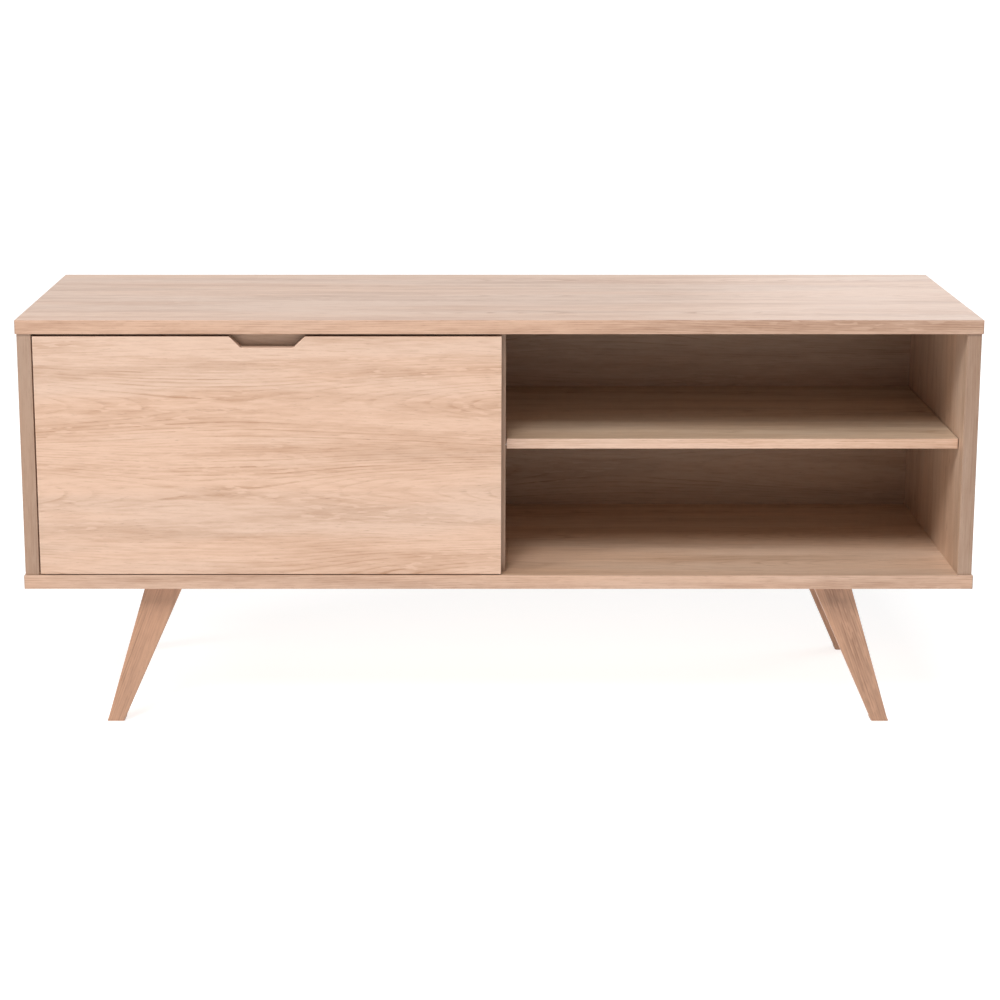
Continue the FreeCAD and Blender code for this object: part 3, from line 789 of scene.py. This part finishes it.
def make_back_screws(steel):
    """Countersunk cross-head screws through the back panel."""
    bm = bmesh.new()
    bars = []
    for low, high in solids_of("back_screws"):
        head = Vector(((low.x + high.x) / 2, high.y, (low.z + high.z) / 2))
        radius, length = (high.x - low.x) / 2, high.y - low.y
        profile = [(0, 0), (0, radius - SCREW_RIM), (SCREW_RIM, radius), (SCREW_HEAD, SCREW_SHANK),
                   (length - SCREW_TIP, SCREW_SHANK), (length, 0)]
        turn(bm, profile, head, Vector((0, -1, 0)))
        bars += cross_recess(head)
    screws = new_piece("back_panel_screws", bm)
    carve(screws, bars)
    drop(bars)
    dress(screws, "carcass", steel, ["back_screws"])


def pin_profile(length, radius, waist):
    """Chamfered at both ends, with a fine groove at the waist."""
    slim = radius - PIN_CHAMFER
    return [(0, 0), (0, slim), (PIN_CHAMFER, radius),
            (waist - PIN_CHAMFER, radius), (waist, slim), (waist + PIN_CHAMFER, radius),
            (length - PIN_CHAMFER, radius), (length, slim), (length, 0)]


def make_shelf_pins(steel):
    """Pins with a groove where they leave the upright."""
    faces = [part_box("left_side_panel")[1][X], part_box("divider_panel")[0][X],
             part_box("divider_panel")[1][X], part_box("right_side_panel")[0][X]]
    for side in ("left", "right"):
        node = "shelf_pins_" + side
        bm = bmesh.new()
        for low, high in solids_of(node):
            waist = next(x for x in faces if low.x < x < high.x) - low.x
            profile = pin_profile(high.x - low.x, (high.z - low.z) / 2, waist)
            start = Vector((low.x, (low.y + high.y) / 2, (low.z + high.z) / 2))
            turn(bm, profile, start, Vector((1, 0, 0)))
        dress(new_piece("steel_" + node, bm), "carcass", steel, [node])


def back_panel_oak():
    low, high = box_of("back_panel")
    return oak("back_panel_oak", (low + high) / 2, (X, Z), 27.5, BACK_TONE, leaf=UPRIGHT_LEAF, figure=1.1)


def dress_cad_nodes(plastic, steel):
    """Materials for the CAD nodes that are not of oak, and for the back panel."""
    # Carriages and hangers are coloured dark brown: painted shade for the door's top gap, through which
    # they show.
    gap_shade_steel = zinc_plate("steel_dark_as_gap_shade", (62, 48, 38), (84, 66, 54))
    rail = brushed_metal("bronze_aluminium", (104, 78, 60), (132, 104, 84), X, 0.4)
    finishes = {"zinc_steel": steel, "nylon": plastic, "beech_dowel": beech(), "track_aluminium": rail}
    back = back_panel_oak()
    for part in frame["record"]["subparts"]:
        node = part["node"]
        material = finishes.get(part["material_slot"])
        if node == "back_panel":
            material = back
        elif node.startswith(("carriage", "hanger")):
            material = gap_shade_steel
        if material is not None:
            mesh = node_object(node).data
            mesh.materials.clear()
            mesh.materials.append(material)


def make_hardware():
    plastic = nylon()
    steel = zinc_plate("zinc_plate", (168, 170, 172), (204, 205, 204))
    dress_cad_nodes(plastic, steel)
    for corner in LEG_CORNERS:
        make_glide(corner, plastic)
    make_back_screws(steel)
    make_shelf_pins(steel)


# ---------------------------------------------------------------- studio
def make_floor():
    bm = bmesh.new()
    bmesh.ops.create_circle(bm, cap_ends=True, segments=96, radius=FLOOR_RADIUS)
    floor = new_piece("studio_floor", bm)
    floor.data.materials.append(studio_floor())


def aim_light(name, data, direction, place=(0.0, 0.0, 0.0)):
    """Adds a light that shines against a direction."""
    light = bpy.data.objects.new(name, data)
    light.location = place
    light.rotation_euler = direction.to_track_quat("Z", "Y").to_euler()
    bpy.context.collection.objects.link(light)


def sun(name, azimuth, elevation, strength, softness):
    """A soft far light.  Azimuth 0 comes from the front, positive from the right."""
    data = bpy.data.lights.new(name, "SUN")
    data.energy = strength
    data.angle = math.radians(softness)
    a, e = math.radians(azimuth), math.radians(elevation)
    aim_light(name, data, Vector((math.sin(a) * math.cos(e), -math.cos(a) * math.cos(e), math.sin(e))))


def softbox(name, place, target, power):
    """A white rectangular light that faces the target."""
    data = bpy.data.lights.new(name, "AREA")
    data.shape = "RECTANGLE"
    data.size, data.size_y = SOFTBOX
    data.energy = power
    aim_light(name, data, Vector(place) - Vector(target), place)


def make_world():
    """White surroundings: bright where seen or mirrored, dim as a light."""
    world = bpy.data.worlds.new("studio")
    bpy.context.scene.world = world
    world.use_nodes = True
    nodes, links = world.node_tree.nodes, world.node_tree.links
    ray = nodes.new("ShaderNodeLightPath")
    seen = nodes.new("ShaderNodeMath")
    seen.operation = "MAXIMUM"
    links.new(ray.outputs["Is Camera Ray"], seen.inputs[0])
    links.new(ray.outputs["Is Glossy Ray"], seen.inputs[1])
    strength = nodes.new("ShaderNodeMapRange")
    strength.inputs["To Min"].default_value = AMBIENT
    strength.inputs["To Max"].default_value = SEEN_WHITE
    links.new(seen.outputs[0], strength.inputs["Value"])
    links.new(strength.outputs[0], nodes["Background"].inputs["Strength"])
    nodes["Background"].inputs["Color"].default_value = (1.0, 1.0, 1.0, 1.0)


def make_lights():
    softbox("front_left_box", place=(-1.1, -1.65, 2.4), target=(-0.1, 0.0, 0.45), power=22)
    softbox("back_right_box", place=(1.5, 3.0, 1.6), target=(0.3, 0.0, 0.66), power=7)
    sun("key", azimuth=-12, elevation=53, strength=1.56, softness=22)
    sun("left_soft", azimuth=-58, elevation=38, strength=0.68, softness=18)
    sun("back_soft", azimuth=122, elevation=30, strength=0.78, softness=40)
    make_world()


def make_camera():
    data = bpy.data.cameras.new("camera")
    data.lens = LENS
    data.sensor_width = SENSOR
    data.shift_x, data.shift_y = CAMERA_SHIFT
    data.clip_end = CAMERA_REACH
    camera = bpy.data.objects.new("camera", data)
    camera.location = CAMERA_AT
    camera.rotation_euler = (math.radians(90 - CAMERA_TILT), 0, 0)
    bpy.context.collection.objects.link(camera)
    bpy.context.scene.camera = camera
    bpy.context.scene.view_settings.view_transform = "Standard"


make_top_and_bottom()
make_uprights()
make_rail_and_shelves()
make_door()
make_legs()
make_hardware()
make_floor()
make_lights()
make_camera()
